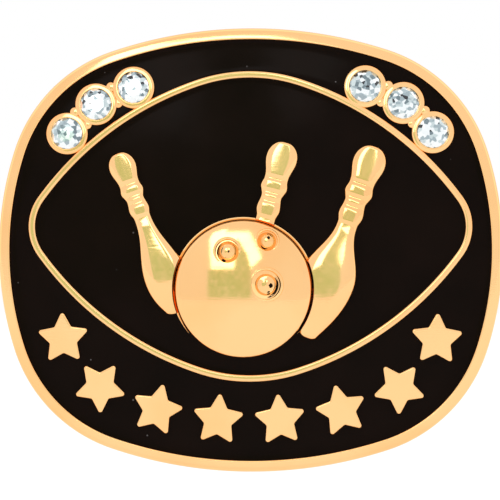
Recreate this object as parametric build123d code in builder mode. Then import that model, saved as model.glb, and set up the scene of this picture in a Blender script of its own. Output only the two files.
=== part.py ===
"""Bowling champion award pin: a cushion-shaped, die-cast badge plated in gold colour.

It has black soft enamel, six foil-backed rhinestones, and two posts on its back that butterfly
clutches slide onto. Millimetres. The origin is the centre of the flat back face. +Z is up as the
pin is worn, the decorated face looks along -Y, and the posts stand out along +Y. Levels are
measured from the back face towards the front.
"""

import math
import os

from build123d import *

# ---------------------------------------------------------------- badge: outline and levels
badge_width = 31.75  # 1 1/4 inch
badge_height = 27.9
edge_crown_radius = 27.6  # the long, flat arcs along the top and the bottom
edge_crown_angle = 18.4  # degrees that each half of such an arc turns through
edge_side_angle = 72.2  # degrees where the corner arc meets the arc of the side
rim_width = 0.75
rim_level = 2.6
rim_outer_round = 0.42
rim_inner_round = 0.2
back_edge_round = 0.3
back_border_width = 1.5
back_recess_depth = 0.3

border_floor_level = 1.7  # floor of the recess between the rim and the eye-shaped line
border_enamel_level = 2.2
center_floor_level = 1.5  # floor of the deeper recess inside the line
center_enamel_level = 2.05

# ---------------------------------------------------------------- eye-shaped line
eye_width = 27.5
eye_height = 19.1
eye_center_up = 1.48
eye_crown_radius = 10.2
eye_crown_angle = 18.4
eye_side_angle = 54.0
eye_line_width = 0.42
eye_line_level = 2.5
eye_line_round = 0.12

# ---------------------------------------------------------------- row of stars along the lower border
star_count = 8
star_pitch = 3.9  # along the row
star_row_inset = 3.2  # from the badge's outer edge to the middle of the row
star_radius = 1.8
star_waist_radius = 0.92
star_tip_round = 0.16
star_level = 2.5
star_edge_round = 0.12

# ---------------------------------------------------------------- bowling ball
ball_radius = 4.3
ball_center = (-0.37, -2.44)
ball_edge_level = 2.6
ball_crown_level = 3.0
ball_edge_round = 0.12
ball_gap = 0.16  # enamel-filled gap between the ball and the pins behind it
ball_holes = [  # from the ball's centre: across, up, and radius at the floor; the last one is for the thumb
    (-0.97, 2.36, 0.5),
    (1.52, 3.02, 0.46),
    (1.45, 0.26, 0.68),
]
hole_floor_level = 2.45
hole_flare = 28.0  # degrees from the hole's axis

# ---------------------------------------------------------------- bowling pins, in low relief
pin_shoulder_level = 2.1  # where the upright sides end and the rounded front begins
pin_flattening = 0.45  # height of the rounded front over half the pin's width
# top of the head, lean in degrees, scale of head and neck, distance down to the belly with its half
# width, and the same two sizes of the foot
pins = {
    "left": ((-8.34, 6.12), 21.5, 0.88, (8.5, 1.4), (10.6, 0.8)),
    "middle": ((2.34, 6.79), -15.0, 1.0, (8.5, 1.5), (10.6, 0.8)),
    "right": ((7.92, 6.51), -19.5, 1.05, (8.9, 1.76), (12.6, 0.56)),
}
pin_head = (1.1, 1.02)  # distance down from the top of the head, and half width
pin_throat = (2.4, 0.78)
pin_upper_collar = (2.95, 0.88)
pin_groove = (3.6, 0.68)
pin_lower_collar = (4.35, 0.78)
pin_neck = (5.0, 0.64)

# ---------------------------------------------------------------- rhinestones and their cups
stone_girdle_radius = 1.0
stone_table_radius = 0.56
stone_crown_height = 0.34
stone_girdle_height = 0.06
stone_pavilion_depth = 0.78
stone_culet_radius = 0.06
foil_thickness = 0.04
cup_level = 2.55
cup_radius = 1.33  # a little over half the distance between neighbours, so the cups merge
cup_edge_round = 0.1
seat_radius = 1.05
seat_floor_level = 1.6
glue_level = 2.3
stone_orbit_radius = 7.1  # from the centre of the badge's corner arc
stone_orbit_middle = 55.6  # degrees
stone_orbit_step = 21.1

# ---------------------------------------------------------------- posts
post_spacing = 15.0
post_up = 1.5
post_radius = 0.55
post_length = 8.0
post_point_length = 1.1
post_tip_radius = 0.08
post_groove_width = 0.35
post_groove_depth = 0.13
post_groove_from_tip = 2.0
post_head_radius = 1.5
post_head_thickness = 0.3
solder_radius = 1.95
solder_height = 0.22

# ---------------------------------------------------------------- butterfly clutches
clutch_gap = 2.1  # cloth and card between the badge and a clutch
disc_radius = 5.7
disc_sheet = 0.3
disc_bore_radius = 0.6
disc_funnel_radius = 1.35
disc_funnel_rise = 0.45
disc_curl_start = 5.2
disc_curl_height = 0.8
disc_bend_radius = 0.25
spring_sheet = 0.1
spring_length = 5.2
spring_width = 2.4
spring_rise = 0.46
spring_hole_radius = 0.85
sheet_play = 0.04  # between sheets that slide on each other
jaw_sheet = 0.28
jaw_width = 4.4
jaw_tail = 1.9
jaw_bend_at = 3.7
jaw_bend_radius = 0.5
jaw_slot_radius = 0.6
jaw_travel = 0.6
jaw_grip_gap = 0.03
wing_lean = 24.0  # degrees outwards from upright
wing_height = 4.8
wing_span = 7.2
wing_flare_height = 1.6
wing_corner_radius = 1.5
housing_sheet = 0.28
housing_length = 4.2
housing_hole_radius = 1.0
housing_bend_radius = 0.3

FRONT = Plane.XZ  # its normal looks along -Y, so offsets are levels above the back face
os.makedirs("parts", exist_ok=True)


def write(shape, name):
    """Labels one finished piece and writes its STEP file."""
    shape.label = name
    export_step(shape, f"parts/{name}.step")


# ================================================================ outlines
def corner_radii(half_width, half_height, crown_radius, crown_angle, side_angle):
    """Radii of the corner arc and the side arc that close a quarter of the outline with no kink."""
    s1, c1 = math.sin(math.radians(crown_angle)), math.cos(math.radians(crown_angle))
    s2, c2 = math.sin(math.radians(side_angle)), math.cos(math.radians(side_angle))
    across = half_width - crown_radius * s1
    down = half_height - crown_radius * (1 - c1)
    det = (s2 - s1) * c2 - (1 - s2) * (c1 - c2)
    return (across * c2 - down * (1 - s2)) / det, (down * (s2 - s1) - across * (c1 - c2)) / det


def rounded_face(half_width, half_height, crown_radius, crown_angle, side_angle):
    """A face bounded by twelve tangent arcs, symmetric both ways."""
    corner, side = corner_radii(half_width, half_height, crown_radius, crown_angle, side_angle)
    with BuildSketch() as face:
        with BuildLine():
            top = JernArc((0, half_height), (1, 0), crown_radius, -crown_angle)
            bend = JernArc(top @ 1, top % 1, corner, crown_angle - side_angle)
            JernArc(bend @ 1, bend % 1, side, side_angle - 90)
            mirror(about=Plane.YZ)
            mirror(about=Plane.XZ)
        make_face()
    return face.sketch


def badge_face(inset=0.0):
    """The badge's outline, moved inwards by inset."""
    return rounded_face(
        badge_width / 2 - inset,
        badge_height / 2 - inset,
        edge_crown_radius - inset,
        edge_crown_angle,
        edge_side_angle,
    )


def eye_face(inset):
    """The middle of the eye-shaped line, moved inwards by inset."""
    face = rounded_face(
        eye_width / 2 - inset,
        eye_height / 2 - inset,
        eye_crown_radius - inset,
        eye_crown_angle,
        eye_side_angle,
    )
    return Pos(0, eye_center_up) * face


corner_radius, _ = corner_radii(
    badge_width / 2, badge_height / 2, edge_crown_radius, edge_crown_angle, edge_side_angle
)
corner_offset = edge_crown_radius - corner_radius
corner_center = (
    corner_offset * math.sin(math.radians(edge_crown_angle)),
    badge_height / 2 - edge_crown_radius + corner_offset * math.cos(math.radians(edge_crown_angle)),
)


def stone_places():
    """Name and centre of each rhinestone: three on an arc in each upper corner."""
    places = []
    for side, sign in (("left", -1), ("right", 1)):
        for i in range(3):
            angle = math.radians(stone_orbit_middle + (1 - i) * stone_orbit_step)
            x = corner_center[0] + stone_orbit_radius * math.cos(angle)
            up = corner_center[1] + stone_orbit_radius * math.sin(angle)
            places.append((f"{side}_{i + 1}", (sign * x, up)))
    return places


def star_places():
    """Where the stars stand, evenly spaced along a line that follows the badge's lower edge."""
    crown = edge_crown_radius - star_row_inset
    corner = corner_radius - star_row_inset
    crown_run = crown * math.radians(edge_crown_angle)
    places = []
    for i in range(star_count):
        along = (i - (star_count - 1) / 2) * star_pitch
        sign = math.copysign(1, along)
        if abs(along) <= crown_run:
            turn = abs(along) / crown
            x = crown * math.sin(turn)
            up = edge_crown_radius - badge_height / 2 - crown * math.cos(turn)
        else:
            turn = math.radians(edge_crown_angle) + (abs(along) - crown_run) / corner
            x = corner_center[0] + corner * math.sin(turn)
            up = -corner_center[1] - corner * math.cos(turn)
        places.append(Location((sign * x, up, 0), (0, 0, sign * math.degrees(turn))))
    return places


def star_face():
    """One five-pointed star with softened tips."""
    with BuildSketch() as star:
        with BuildLine():
            radii = [star_waist_radius if i % 2 else star_radius for i in range(10)]
            turns = [i * math.pi / 5 for i in range(10)]
            Polyline([(r * math.sin(a), r * math.cos(a)) for r, a in zip(radii, turns)], close=True)
        make_face()
        fillet(star.vertices(), star_tip_round)
    return star.sketch


def pin_relief(size, belly, foot):
    """An upright pin with its head's top at the origin: upright sides, then a flattened turned front."""
    head, throat, upper, groove, lower, neck = (
        (size * width, -down)
        for down, width in (pin_head, pin_throat, pin_upper_collar, pin_groove, pin_lower_collar, pin_neck)
    )
    belly, foot = (belly[1], -belly[0]), (foot[1], -foot[0])
    swell = (neck[1] - belly[1]) / 3
    with BuildPart() as turned:
        with BuildSketch(FRONT):
            with BuildLine():
                top = Spline((0, 0), head, throat, upper, groove, lower, neck, tangents=[(1, 0), (0, -1)])
                Bezier(neck, (neck[0], neck[1] - swell), (belly[0], belly[1] + swell), belly)
                Bezier(belly, (belly[0], (belly[1] + foot[1]) / 2), (1.25 * foot[0], foot[1] + 0.4), foot)
                Polyline(foot, (0, foot[1]), top @ 0)
            make_face()
        revolve(axis=Axis.Z, revolution_arc=-180)
    front = Pos(0, -pin_shoulder_level, 0) * scale(turned.part, by=(1, pin_flattening, 1))
    with BuildPart() as relief:
        add(front)
        extrude(relief.faces().sort_by(Axis.Y)[-1], pin_shoulder_level - center_floor_level, dir=(0, 1, 0))
    return relief.part


def ball_relief():
    """The ball: an upright edge, a nearly flat domed front and three flared holes."""
    edge = ball_edge_level - center_floor_level
    top = ball_crown_level - center_floor_level
    halfway = edge + 0.75 * (top - edge)
    with BuildPart() as ball:
        with BuildSketch():
            with BuildLine():
                ThreePointArc((0, -top), (ball_radius / 2, -halfway), (ball_radius, -edge))
                Polyline((ball_radius, -edge), (ball_radius, 0), (0, 0), (0, -top))
            face = make_face()
            fillet(face.vertices().sort_by(Axis.X)[-2:].sort_by(Axis.Y)[0], ball_edge_round)
        revolve(axis=Axis.Y)
    with BuildPart() as drilled:
        add(Pos(ball_center[0], -center_floor_level, ball_center[1]) * ball.part)
        for across, up, radius in ball_holes:
            with BuildSketch(FRONT.offset(hole_floor_level)):
                with Locations((ball_center[0] + across, ball_center[1] + up)):
                    Circle(radius)
            extrude(amount=ball_crown_level - hole_floor_level + 0.2, taper=-hole_flare, mode=Mode.SUBTRACT)
    return drilled.part


# ================================================================ badge casting
def straight_relief(face, floor, level, edge_round):
    """Straight-sided relief that stands on a recess floor, with rounded front edges."""
    with BuildPart() as relief:
        with BuildSketch(FRONT.offset(floor)):
            add(face)
        extrude(amount=level - floor)
        fillet(relief.faces().sort_by(Axis.Y)[0].edges(), edge_round)
    return relief.part


with BuildSketch() as eye_line:
    add(eye_face(-eye_line_width / 2))
    add(eye_face(eye_line_width / 2), mode=Mode.SUBTRACT)

with BuildSketch() as cup_group:
    with Locations([center for _, center in stone_places()]):
        Circle(cup_radius)

pin_reliefs = [
    Location((top[0], 0, top[1]), (0, -lean, 0)) * pin_relief(size, belly, foot)
    for top, lean, size, belly, foot in pins.values()
]
with BuildPart() as pin_group:
    add(pin_reliefs)
    with BuildSketch(FRONT.offset(center_floor_level)):
        with Locations(ball_center):
            Circle(ball_radius + ball_gap)
    extrude(amount=ball_crown_level, mode=Mode.SUBTRACT)

ball = ball_relief()
star = straight_relief(star_face(), border_floor_level, star_level, star_edge_round)
star_row = [
    Location((place.position.X, 0, place.position.Y), (0, -place.orientation.Z, 0)) * star
    for place in star_places()
]
cups = straight_relief(cup_group.sketch, border_floor_level, cup_level, cup_edge_round)
eye_ridge = straight_relief(eye_line.sketch, center_floor_level, eye_line_level, eye_line_round)

with BuildPart() as badge_body:
    with BuildSketch(FRONT):
        add(badge_face())
    extrude(amount=rim_level)
    fillet(badge_body.faces().sort_by(Axis.Y)[-1].edges(), back_edge_round)
    fillet(badge_body.faces().sort_by(Axis.Y)[0].edges(), rim_outer_round)
    with BuildSketch(FRONT.offset(rim_level)):
        add(badge_face(rim_width))
    extrude(amount=border_floor_level - rim_level, mode=Mode.SUBTRACT)
    rim_top = badge_body.faces().filter_by(GeomType.PLANE).sort_by(Axis.Y)[0]
    fillet(rim_top.inner_wires().edges(), rim_inner_round)
    # the back is hollow, so that only a flat border touches the cloth
    with BuildSketch(FRONT):
        add(badge_face(back_border_width))
    extrude(amount=back_recess_depth, mode=Mode.SUBTRACT)
    # the field inside the eye-shaped line is deeper than the border's
    with BuildSketch(FRONT.offset(border_floor_level)):
        add(eye_face(0))
    extrude(amount=center_floor_level - border_floor_level, mode=Mode.SUBTRACT)
    add([eye_ridge, pin_group.part, ball, cups, *star_row])
    with BuildSketch(FRONT.offset(seat_floor_level)):
        with Locations([center for _, center in stone_places()]):
            Circle(seat_radius)
    extrude(amount=cup_level, mode=Mode.SUBTRACT)
write(badge_body.part, "badge_body")


# ================================================================ enamel
def enamel_fill(face, floor, level):
    """Enamel poured into a recess up to a level, around the relief that stands in it."""
    with BuildPart() as fill:
        with BuildSketch(FRONT.offset(floor)):
            add(face)
        extrude(amount=level - floor)
        add(badge_body.part, mode=Mode.SUBTRACT)
    return fill.part


with BuildSketch() as border_field:
    add(badge_face(rim_width))
    add(eye_face(0), mode=Mode.SUBTRACT)
    add(cup_group.sketch, mode=Mode.SUBTRACT)
write(enamel_fill(border_field.sketch, border_floor_level, border_enamel_level), "enamel_border")
write(enamel_fill(eye_face(0), center_floor_level, center_enamel_level), "enamel_center")

# ================================================================ rhinestones, their foil and their cement
stone_tip_level = seat_floor_level + 2 * foil_thickness
stone_girdle_level = stone_tip_level + stone_pavilion_depth
foil_slope = math.atan2(stone_pavilion_depth, stone_girdle_radius - stone_culet_radius)
foil_drop = foil_thickness / math.cos(foil_slope)


def turned_piece(points, center):
    """A piece turned about the axis through center that points forwards; points are (radius, level)."""
    plane = Plane(origin=(center[0], 0, center[1]))
    with BuildPart() as piece:
        with BuildSketch(plane):
            with BuildLine():
                Polyline([(radius, -level) for radius, level in points], close=True)
            make_face()
        revolve(axis=Axis(plane.origin, (0, 1, 0)))
    return piece.part


stone_profile = [
    (0, stone_tip_level),
    (stone_culet_radius, stone_tip_level),
    (stone_girdle_radius, stone_girdle_level),
    (stone_girdle_radius, stone_girdle_level + stone_girdle_height),
    (stone_table_radius, stone_girdle_level + stone_girdle_height + stone_crown_height),
    (0, stone_girdle_level + stone_girdle_height + stone_crown_height),
]
foil_profile = [
    (0, stone_tip_level),
    (stone_culet_radius, stone_tip_level),
    (stone_girdle_radius, stone_girdle_level),
    (stone_girdle_radius, stone_girdle_level - foil_drop),
    (stone_culet_radius, stone_tip_level - foil_drop),
    (0, stone_tip_level - foil_drop),
]
glue_inner_radius = stone_culet_radius + (glue_level - stone_tip_level + foil_drop) / math.tan(foil_slope)
glue_profile = [
    (0, seat_floor_level),
    (seat_radius, seat_floor_level),
    (seat_radius, glue_level),
    (glue_inner_radius, glue_level),
    (stone_culet_radius, stone_tip_level - foil_drop),
    (0, stone_tip_level - foil_drop),
]
cement = []
for name, center in stone_places():
    write(turned_piece(stone_profile, center), f"rhinestone_{name}")
    write(turned_piece(foil_profile, center), f"foil_{name}")
    cement.append(turned_piece(glue_profile, center))
write(Compound(children=cement), "stone_cement")

# ================================================================ posts, soldered on by their heads
solder_profile = [
    (post_head_radius, back_recess_depth),
    (solder_radius, back_recess_depth),
    (post_head_radius + (solder_radius - post_head_radius) / 4, back_recess_depth - 0.4 * solder_height),
    (post_head_radius, back_recess_depth - solder_height),
]
groove_at = post_length - post_groove_from_tip
groove_radius = post_radius - post_groove_depth
post_profile = [
    (0, back_recess_depth),
    (post_head_radius, back_recess_depth),
    (post_head_radius, back_recess_depth - post_head_thickness),
    (post_radius, back_recess_depth - post_head_thickness),
    (post_radius, -(groove_at - post_groove_width)),
    (groove_radius, -(groove_at - post_groove_width / 2)),
    (groove_radius, -(groove_at + post_groove_width / 2)),
    (post_radius, -(groove_at + post_groove_width)),
    (post_radius, -(post_length - post_point_length)),
    (post_tip_radius, -post_length),
    (0, -post_length),
]

# ================================================================ butterfly clutches
disc_level = clutch_gap + disc_sheet
spring_level = disc_level + spring_rise + spring_sheet + sheet_play
jaw_levels = {"inner": spring_level, "outer": spring_level + jaw_sheet + sheet_play}
housing_level = jaw_levels["outer"] + jaw_sheet + sheet_play


def bent_sheet(points, bend_radius, sheet):
    """The section of a sheet bent along a path through its middle, as a face."""
    with BuildSketch() as section:
        with BuildLine():
            FilletPolyline(*points, radius=bend_radius)
            offset(amount=sheet / 2)
        make_face()
    return section.sketch


def clutch_disc(side_plane):
    """Round base: a funnel guides the post in, and the rim curls away from the cloth."""
    middle = clutch_gap + disc_sheet / 2
    path = [
        (disc_bore_radius + disc_sheet / 2, middle + disc_funnel_rise),
        (disc_funnel_radius, middle),
        (disc_curl_start, middle),
        (disc_radius - disc_sheet / 2, middle + disc_curl_height - disc_sheet / 2),
    ]
    with BuildPart() as disc:
        with BuildSketch(side_plane):
            add(bent_sheet(path, disc_bend_radius, disc_sheet))
        revolve(axis=Axis(side_plane.origin, (0, 1, 0)))
    return disc.part


def clutch_spring(side_plane, sole_plane):
    """Thin bowed strip that lies on the disc and presses on the jaws."""
    low = disc_level + spring_sheet / 2 + 0.01
    with BuildPart() as spring:
        with BuildSketch(side_plane):
            with BuildLine():
                ThreePointArc((-spring_length / 2, low), (0, low + spring_rise), (spring_length / 2, low))
                offset(amount=spring_sheet / 2)
            make_face()
        extrude(amount=spring_width / 2, both=True)
        with BuildSketch(sole_plane):
            Circle(spring_hole_radius)
        extrude(amount=post_length, mode=Mode.SUBTRACT)
    return spring.part


def clutch_jaw(side_plane, sole_plane, end_plane, facing, level):
    """A slotted strip around the post that turns up into one wing; facing is +1 for the +X wing."""
    middle = level + jaw_sheet / 2
    lean = math.radians(wing_lean)
    path = [
        (-facing * jaw_tail, middle),
        (facing * jaw_bend_at, middle),
        (facing * (jaw_bend_at + wing_height * math.tan(lean)), middle + wing_height),
    ]
    flare_from = level + jaw_sheet + 0.2
    wing_top = middle + wing_height + jaw_sheet
    grip_center = facing * (jaw_slot_radius - post_radius - jaw_grip_gap)
    with BuildPart() as jaw:
        with BuildSketch(side_plane):
            add(bent_sheet(path, jaw_bend_radius, jaw_sheet))
        extrude(amount=wing_span / 2, both=True)
        with BuildSketch(end_plane):
            with BuildLine():
                Polyline(
                    (0, level),
                    (jaw_width / 2, level),
                    (jaw_width / 2, flare_from),
                    (wing_span / 2, flare_from + wing_flare_height),
                    (wing_span / 2, wing_top),
                    (0, wing_top),
                )
                mirror(about=Plane.YZ)
            outline = make_face()
            fillet(outline.vertices().group_by(Axis.Y)[-1], wing_corner_radius)
        extrude(amount=2 * badge_width, both=True, mode=Mode.INTERSECT)
        with BuildSketch(sole_plane.offset(level)):
            with Locations((grip_center + facing * jaw_travel / 2, 0)):
                SlotCenterToCenter(jaw_travel, 2 * jaw_slot_radius)
        extrude(amount=jaw_sheet, mode=Mode.SUBTRACT)
    return jaw.part


def clutch_housing(end_plane, sole_plane):
    """Channel that holds the jaws down: two walls welded to the disc and a top with a hole for the post."""
    half = jaw_width / 2 + sheet_play + housing_sheet / 2
    top = housing_level + housing_sheet / 2
    bottom = disc_level + housing_sheet / 2
    path = [(-half, bottom), (-half, top), (half, top), (half, bottom)]
    with BuildPart() as housing:
        with BuildSketch(end_plane):
            add(bent_sheet(path, housing_bend_radius, housing_sheet))
        extrude(amount=housing_length / 2, both=True)
        with BuildSketch(sole_plane.offset(housing_level)):
            Circle(housing_hole_radius)
        extrude(amount=housing_sheet, mode=Mode.SUBTRACT)
    return housing.part


for side, x in (("left", -post_spacing / 2), ("right", post_spacing / 2)):
    write(turned_piece(post_profile, (x, post_up)), f"post_{side}")
    write(turned_piece(solder_profile, (x, post_up)), f"solder_{side}")
    # the planes' y runs away from the cloth in the first two, and their x across and down the badge
    side_view = Plane(origin=(x, 0, post_up))
    end_view = Plane(origin=(x, 0, post_up), x_dir=(0, 0, -1), z_dir=(1, 0, 0))
    sole_view = Plane(origin=(x, 0, post_up), x_dir=(1, 0, 0), z_dir=(0, 1, 0))
    write(clutch_disc(side_view), f"clutch_disc_{side}")
    write(clutch_spring(side_view, sole_view), f"clutch_spring_{side}")
    write(clutch_housing(end_view, sole_view), f"clutch_housing_{side}")
    for jaw_name, facing in (("inner", -1), ("outer", 1)):
        jaw = clutch_jaw(side_view, sole_view, end_view, facing, jaw_levels[jaw_name])
        write(jaw, f"clutch_jaw_{jaw_name}_{side}")
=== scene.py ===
# %% [markdown]
# # A bowling champion award pin
# A badge of this kind is cast from zinc, polished, plated in a gold colour and then filled by hand with
# black enamel. Six foil-backed rhinestones are glued into cups in its upper corners, and two posts on its
# back go through the cloth into butterfly clutches. The CAD model fixes every size and every motion. This
# script rebuilds the shapes with smooth, finely divided surfaces, because polished metal shows each flat
# spot in a coarse mesh, and it gives every piece its finish.

# %% Load the frame
import math

import bmesh
import bpy
from mathutils import Matrix, Vector


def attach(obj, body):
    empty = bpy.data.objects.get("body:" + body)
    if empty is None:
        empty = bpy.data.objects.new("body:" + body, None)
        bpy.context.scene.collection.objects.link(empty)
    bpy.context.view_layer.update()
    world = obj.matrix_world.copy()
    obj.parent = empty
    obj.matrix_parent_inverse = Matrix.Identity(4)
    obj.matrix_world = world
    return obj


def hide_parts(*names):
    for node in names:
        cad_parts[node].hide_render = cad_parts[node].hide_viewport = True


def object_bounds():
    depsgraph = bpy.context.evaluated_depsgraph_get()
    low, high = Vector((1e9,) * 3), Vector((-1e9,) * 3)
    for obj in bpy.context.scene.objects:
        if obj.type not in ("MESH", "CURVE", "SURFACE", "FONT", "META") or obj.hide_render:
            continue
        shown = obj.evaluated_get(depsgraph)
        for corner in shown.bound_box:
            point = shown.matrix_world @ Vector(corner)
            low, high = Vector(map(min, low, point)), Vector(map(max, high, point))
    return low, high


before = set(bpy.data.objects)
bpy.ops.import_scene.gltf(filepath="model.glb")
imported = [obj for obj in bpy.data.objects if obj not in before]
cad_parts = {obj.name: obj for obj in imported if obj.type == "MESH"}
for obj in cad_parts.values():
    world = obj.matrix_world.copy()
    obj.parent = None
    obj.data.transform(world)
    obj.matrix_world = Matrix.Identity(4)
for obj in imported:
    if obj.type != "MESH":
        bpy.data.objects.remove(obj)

cad_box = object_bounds()
MM = 0.001
SIDES = {"left": -1, "right": 1}
print("size in mm:", [round((high - low) / MM, 2) for low, high in zip(*cad_box)])

# %% [markdown]
# ## Helpers for turned, lofted and combined shapes
# Most of the pin is either a ring of sections, such as its rim, or a turned shape, such as its posts. Both
# are stacks of point loops with bands of faces between them, so one function makes the mesh. Everything is
# made in millimetres and scaled to metres at the end, which also keeps the Boolean solver well away from
# tiny numbers. A level is a height above the flat back face, measured towards the front, so it becomes
# minus Y.


# %% Meshes from stacked loops
def stacked_loops(name, loops, ring=False):
    """A closed mesh from loops of equally many points: a tube with two end faces, or a ring with none."""
    shape = bmesh.new()
    stack = [[shape.verts.new(point) for point in loop] for loop in loops]
    pairs = list(zip(stack, stack[1:]))
    if ring:
        pairs.append((stack[-1], stack[0]))
    else:
        shape.faces.new(stack[0])
        shape.faces.new(stack[-1])
    for lower, upper in pairs:
        for i in range(len(lower)):
            shape.faces.new((lower[i - 1], lower[i], upper[i], upper[i - 1]))
    bmesh.ops.recalc_face_normals(shape, faces=shape.faces)
    return piece_from(name, shape)


def piece_from(name, shape):
    """Moves a bmesh into a new object of the scene."""
    mesh = bpy.data.meshes.new(name)
    shape.to_mesh(mesh)
    shape.free()
    piece = bpy.data.objects.new(name, mesh)
    bpy.context.scene.collection.objects.link(piece)
    return piece


# %% Paths with rounded corners
def rounded_path(corners, closed=False, steps=6):
    """Points of a path through corners given as (across, level, radius), with an arc at each corner."""
    path = []
    for i, (across, level, radius) in enumerate(corners):
        corner = Vector((across, level))
        if radius == 0 or (not closed and i in (0, len(corners) - 1)):
            path.append(corner)
            continue
        back = (Vector(corners[i - 1][:2]) - corner).normalized()
        ahead = (Vector(corners[(i + 1) % len(corners)][:2]) - corner).normalized()
        half = back.angle(ahead) / 2
        center = corner + (back + ahead).normalized() * (radius / math.sin(half))
        first = corner + back * (radius / math.tan(half)) - center
        turn = first.angle_signed(corner + ahead * (radius / math.tan(half)) - center)
        for k in range(steps + 1):
            path.append(center + Matrix.Rotation(-turn * k / steps, 2) @ first)
    return path


def turned(name, center, path, steps=96, ring=False):
    """A piece turned about the axis through center, from a path of (radius, level) points."""
    loops = []
    for radius, level in path:
        spins = [2 * math.pi * i / steps for i in range(steps)]
        around = [(radius * math.cos(spin), radius * math.sin(spin)) for spin in spins]
        loops.append([(center[0] + across, -level, center[1] + up) for across, up in around])
    return stacked_loops(name, loops, ring)


# %% Joining, cutting and smoothing
def apply_modifiers(piece):
    """Turns what the modifiers show into the piece's own mesh."""
    depsgraph = bpy.context.evaluated_depsgraph_get()
    mesh = bpy.data.meshes.new_from_object(piece.evaluated_get(depsgraph))
    mesh.materials.clear()
    piece.modifiers.clear()
    piece.data = mesh


def combine(piece, others, operation, keep=False):
    """Unites a piece with others or cuts them out of it, and removes the others unless they are kept."""
    for other in others:
        step = piece.modifiers.new("combine", "BOOLEAN")
        step.operation = operation
        step.solver = "MANIFOLD"
        step.object = other
    apply_modifiers(piece)
    if not keep:
        for other in others:
            bpy.data.objects.remove(other)


def finish_piece(piece, material, sharp_angle=35, weighted=True):
    """Scales a piece to metres, shades it smooth up to an angle, and gives it its finish."""
    piece.data.transform(Matrix.Scale(MM, 4))
    piece.data.shade_smooth()
    piece.data.set_sharp_from_angle(angle=math.radians(sharp_angle))
    piece.data.materials.append(material)
    if weighted:
        normals = piece.modifiers.new("flat faces stay flat", "WEIGHTED_NORMAL")
        normals.keep_sharp = True
    print(f"{piece.name}: {len(piece.data.polygons)} faces")


# %% [markdown]
# ## Plated metal
# Gold plate, brass and spring steel all have one make-up: a metal colour that drifts a little where the
# plating is thicker or has tarnished, a polish that is not quite even, and fine wiping marks. One function
# builds it, and its arguments say how far each effect goes. The patterns sit on object coordinates, so they
# stay put on the metal.


# %% The plated metal material
def plated_metal(name, colour, tarnish, polish, marks, drift_scale=140.0):
    """A metal with drifting colour, polish between two roughnesses, and wiping marks of a given depth."""
    material = bpy.data.materials.new(name)
    material.use_nodes = True
    nodes, links = material.node_tree.nodes, material.node_tree.links
    nodes.clear()

    place = nodes.new("ShaderNodeTexCoord")
    place.label = "place on the metal"
    place.location = (-1300, 0)

    colour_frame = nodes.new("NodeFrame")
    colour_frame.label = "plating colour"
    drift = nodes.new("ShaderNodeTexNoise")
    drift.label = "where the plating is thicker"
    drift.location = (-1000, 300)
    drift_reach = nodes.new("ShaderNodeMapRange")
    drift_reach.label = "how much of it shows"
    drift_reach.location = (-780, 300)
    tint = nodes.new("ShaderNodeMix")
    tint.label = "clean to tarnished"
    tint.location = (-540, 300)
    for node in (drift, drift_reach, tint):
        node.parent = colour_frame

    polish_frame = nodes.new("NodeFrame")
    polish_frame.label = "uneven polish"
    haze = nodes.new("ShaderNodeTexNoise")
    haze.label = "haze left by the wheel"
    haze.location = (-1000, -40)
    polish_reach = nodes.new("ShaderNodeMapRange")
    polish_reach.label = "bright to hazy"
    polish_reach.location = (-780, -40)
    for node in (haze, polish_reach):
        node.parent = polish_frame

    marks_frame = nodes.new("NodeFrame")
    marks_frame.label = "wiping marks"
    stretch = nodes.new("ShaderNodeMapping")
    stretch.label = "long one way, fine the other"
    stretch.location = (-1000, -380)
    hairlines = nodes.new("ShaderNodeTexNoise")
    hairlines.label = "hairlines"
    hairlines.location = (-780, -380)
    relief = nodes.new("ShaderNodeBump")
    relief.label = "marks in the surface"
    relief.location = (-540, -380)
    for node in (stretch, hairlines, relief):
        node.parent = marks_frame

    metal = nodes.new("ShaderNodeBsdfPrincipled")
    metal.label = "metal"
    metal.location = (-240, 100)
    output = nodes.new("ShaderNodeOutputMaterial")
    output.location = (80, 100)

    drift.inputs["Scale"].default_value = drift_scale
    drift.inputs["Detail"].default_value = 3.0
    drift_reach.inputs["From Min"].default_value = 0.45
    drift_reach.inputs["From Max"].default_value = 0.75
    tint.data_type = "RGBA"
    tint.inputs["A"].default_value = (*colour, 1.0)
    tint.inputs["B"].default_value = (*tarnish, 1.0)
    haze.inputs["Scale"].default_value = 420.0
    haze.inputs["Detail"].default_value = 4.0
    polish_reach.inputs["From Min"].default_value = 0.3
    polish_reach.inputs["From Max"].default_value = 0.7
    polish_reach.inputs["To Min"].default_value = polish[0]
    polish_reach.inputs["To Max"].default_value = polish[1]
    stretch.inputs["Rotation"].default_value = (0.0, 0.6, 0.0)
    stretch.inputs["Scale"].default_value = (500.0, 2500.0, 6000.0)
    hairlines.inputs["Scale"].default_value = 1.0
    hairlines.inputs["Detail"].default_value = 2.0
    relief.inputs["Strength"].default_value = marks
    relief.inputs["Distance"].default_value = 0.00001
    metal.inputs["Metallic"].default_value = 1.0

    links.new(place.outputs["Object"], drift.inputs["Vector"])
    links.new(drift.outputs["Fac"], drift_reach.inputs["Value"])
    links.new(drift_reach.outputs["Result"], tint.inputs["Factor"])
    links.new(tint.outputs["Result"], metal.inputs["Base Color"])
    links.new(place.outputs["Object"], haze.inputs["Vector"])
    links.new(haze.outputs["Fac"], polish_reach.inputs["Value"])
    links.new(polish_reach.outputs["Result"], metal.inputs["Roughness"])
    links.new(place.outputs["Object"], stretch.inputs["Vector"])
    links.new(stretch.outputs["Vector"], hairlines.inputs["Vector"])
    links.new(hairlines.outputs["Fac"], relief.inputs["Height"])
    links.new(relief.outputs["Normal"], metal.inputs["Normal"])
    links.new(metal.outputs["BSDF"], output.inputs["Surface"])
    return material


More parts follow.
